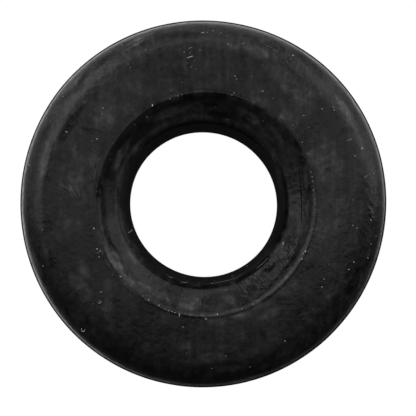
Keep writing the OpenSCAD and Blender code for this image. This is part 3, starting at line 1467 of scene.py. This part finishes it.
SPECKS = (
    (152.5, 105.5, 2.3), (147.0, 117.0, 1.3), (103.0, 108.0, 1.4), (102.0, 114.0, 0.8), (97.0, 139.0, 1.5),
    (92.0, 141.0, 0.9), (152.0, 34.0, 1.2), (122.0, 45.0, 1.3), (145.5, 50.0, 0.8), (63.0, 96.5, 1.2),
    (29.0, 165.0, 1.8), (109.0, 52.0, 0.8), (182.0, 95.0, 1.1), (178.0, 96.0, 1.1), (170.0, 99.0, 1.1),
    (207.5, 32.5, 0.9), (213.0, 30.5, 0.9), (221.0, 33.0, 0.8), (227.0, 36.0, 0.8), (200.0, 50.0, 0.8),
    (184.0, 52.0, 0.9), (187.0, 63.0, 0.9), (191.0, 67.0, 0.9), (195.0, 61.0, 0.9), (190.0, 53.0, 0.8),
    (196.0, 69.0, 0.8), (235.0, 76.0, 1.2), (236.5, 79.0, 1.1), (232.0, 95.0, 1.1), (234.0, 93.0, 1.1),
    (263.0, 91.0, 1.3), (293.0, 55.5, 1.9), (303.5, 115.5, 1.4), (322.0, 109.0, 1.2), (333.0, 107.0, 1.1),
    (334.0, 110.0, 1.1), (302.0, 142.0, 0.8), (293.0, 125.0, 0.8), (362.0, 148.5, 1.9), (355.0, 156.0, 1.2),
    (367.0, 176.0, 1.3), (373.5, 173.0, 1.2), (365.0, 177.0, 1.1), (311.0, 172.0, 1.1), (312.0, 177.0, 1.1),
    (313.0, 181.0, 1.1), (313.5, 190.0, 0.8), (314.0, 194.0, 0.5), (315.0, 199.0, 0.7), (315.5, 204.0, 0.5),
    (316.0, 209.0, 0.7), (315.5, 216.0, 0.5), (315.0, 224.0, 0.6), (313.5, 233.0, 0.5), (311.5, 243.0, 0.6),
    (308.5, 252.0, 0.5), (228.0, 44.0, 1.1), (258.0, 145.5, 1.2), (353.0, 200.0, 0.8), (169.0, 27.0, 1.1),
    (94.0, 228.5, 1.7), (97.0, 249.0, 1.6), (100.0, 251.0, 1.2), (98.0, 252.5, 1.1), (99.0, 257.0, 1.1),
    (43.0, 266.0, 1.2), (45.0, 286.0, 0.8), (42.0, 230.0, 0.8), (101.0, 292.0, 1.1), (148.6, 300.0, 1.6),
    (159.0, 305.3, 1.6), (206.0, 319.0, 1.8), (212.2, 283.3, 2.1), (183.0, 327.0, 1.3), (353.0, 225.5, 1.2),
    (357.0, 228.0, 1.2), (371.0, 220.0, 1.8), (371.0, 244.0, 1.2), (367.8, 258.0, 1.7), (353.8, 262.0, 1.6),
    (348.8, 269.5, 1.5), (305.5, 251.5, 1.9), (303.5, 253.5, 1.3), (302.0, 259.0, 1.7), (299.5, 260.0, 1.1),
    (247.0, 266.0, 1.5), (232.8, 276.3, 1.7), (285.0, 341.0, 1.2), (250.0, 367.0, 1.2), (212.0, 368.5, 0.8),
    (376.0, 236.0, 1.2), (381.0, 234.0, 1.7), (324.0, 279.0, 1.2), (322.0, 287.0, 1.2), (120.6, 276.6, 1.7),
    (217.5, 314.4, 1.5), (253.0, 304.4, 1.3), (242.0, 309.0, 0.9), (165.0, 309.3, 1.0), (168.5, 310.7, 1.1),
    (172.0, 311.8, 1.0), (175.0, 312.6, 1.0), (190.0, 315.2, 0.9), (197.0, 315.8, 0.9), (143.0, 296.0, 0.8),
)

STRANDS = (
    Strand(Grime.LINT, 1.3, ((128, 233), (130.5, 231.5), (133, 229))),
    Strand(Grime.LINT, 0.5, ((168, 275.8), (171, 277.4), (174, 278.2))),
    Strand(Grime.LINT, 0.6, ((181.5, 282), (185, 282.4), (188.5, 282.3))),
    Strand(Grime.LINT, 0.3, ((212, 283), (221, 281.8), (230, 280), (238, 276.5), (245, 272))),
    Strand(Grime.LINT, 0.25, ((256, 269), (262, 264), (269, 257))),
    Strand(Grime.LINT, 0.6, ((65, 131), (66.5, 131.8), (68, 133))),
    Strand(Grime.LINT, 0.9, ((187, 58), (190, 57), (193, 56))),
    Strand(Grime.LINT, 0.5, ((188, 48.5), (190, 48), (192, 47))),
    Strand(Grime.LINT, 0.8, ((200.5, 33.2), (202.5, 32.6), (204.5, 32.2))),
    Strand(Grime.LINT, 0.3, ((346.5, 140.6), (349.5, 139.8), (352.5, 138.6))),
    Strand(Grime.LINT, 0.12, ((264, 44.5), (268, 46.2), (272, 48))),
    Strand(Grime.LINT, 0.15, ((273, 49), (276, 50.6), (279, 52))),
    Strand(Grime.LINT, 0.25, ((241.5, 43.8), (243.5, 43.4), (245.5, 43.2))),
    Strand(Grime.LINT, 1.0, ((179.5, 313), (179.4, 315), (179.5, 317))),
    Strand(Grime.LINT, 1.0, ((283, 241.5), (283.2, 243.5), (283, 245.5))),
    Strand(Grime.LINT, 1.1, ((81.5, 328), (82, 331), (84, 331.6), (85, 329))),
    Strand(Grime.LINT, 0.3, ((98, 301), (100, 300.6), (101.2, 302), (99.6, 303.3), (98, 302.3), (98, 301.2))),
    Strand(Grime.CUT, 0.6, ((78, 126), (86, 129.5), (94, 129), (104, 133))),
    Strand(Grime.CUT, 0.4, ((101, 126), (105, 128), (109, 131))),
    Strand(Grime.CUT, 0.4, ((88, 132), (95, 134), (100, 134))),
    Strand(Grime.CUT, 0.45, ((55, 183), (63, 188.5), (70, 193), (77, 199))),
    Strand(Grime.CUT, 0.35, ((57, 189), (65, 193), (73, 199))),
    Strand(Grime.CUT, 0.35, ((68, 178), (73, 187), (79, 197))),
    Strand(Grime.CUT, 0.45, ((71, 186), (76, 193), (81, 202))),
    Strand(Grime.CUT, 0.35, ((61, 178), (67, 186), (74, 194))),
    Strand(Grime.CUT, 0.35, ((79, 181), (80, 190), (82, 199))),
    Strand(Grime.CUT, 0.9, ((95, 165), (95.4, 166.5), (95.6, 168))),
    Strand(Grime.CUT, 0.9, ((96, 172), (96.3, 173.5), (96.4, 175))),
    Strand(Grime.CUT, 0.9, ((97, 178), (97.1, 179.2), (97.2, 180.5))),
    Strand(Grime.CUT, 1.0, ((299, 165), (300.5, 185), (301.5, 205), (301, 230))),
    Strand(Grime.CUT, 0.9, ((297, 190.5), (300, 190.7), (303, 190.5))),
    Strand(Grime.CUT, 1.1, ((325.5, 168.5), (327, 169.2), (328.5, 169.5))),
    Strand(Grime.CUT, 1.1, ((275, 297), (279, 298.8), (283, 300))),
    Strand(Grime.CUT, 1.0, ((286.5, 303.5), (288, 304.2), (289.5, 304.8))),
    Strand(Grime.CUT, 0.8, ((203.5, 296), (202.5, 303), (201.5, 311))),
    Strand(Grime.CUT, 1.2, ((273, 123.5), (275, 125), (277, 126.5))),
    Strand(Grime.CUT, 1.2, ((281.5, 136), (283, 138), (284.5, 140))),
    Strand(Grime.CUT, 1.2, ((255, 270.5), (262, 265.5), (268.5, 259))),
    Strand(Grime.CUT, 0.8, ((122, 50), (136, 42.5), (150, 35.5))),
)


def attach(piece: bpy.types.Object) -> None:
    """Ties a piece to the model's body.

    Args:
        piece: The piece.
    """
    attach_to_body(piece, BODY)
    LOG.info("%s: %d faces", piece.name, len(piece.data.polygons))


def main() -> None:
    """Builds the grommet, its marks, its light and its camera in order."""
    logging.basicConfig(level=logging.INFO, format="%(name)s: %(message)s")
    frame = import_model()
    bpy.context.scene.view_settings.view_transform = "Standard"
    section = Section.from_frame(frame["record"])
    view = PhotoView(section)
    view.build()
    ring = RubberBody(section, view, SMUDGES_AND_PAINTED_LIGHT).build()
    ring.data.materials.append(RubberFinish().build())
    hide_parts(NODE)
    attach(ring)
    marks = Marks(Surface(ring, view), SPECKS, STRANDS)
    attach(marks.build(GrimeFinish(Grime.LINT, dark=0.25, pale=0.7)))
    # The cuts' near-black colour is painted shade inside them.
    attach(marks.build(GrimeFinish(Grime.CUT, dark=0.001, pale=0.004)))
    Studio(LAMPS).build(Vector((0, 0, section.height)))


if __name__ == "__main__":
    main()
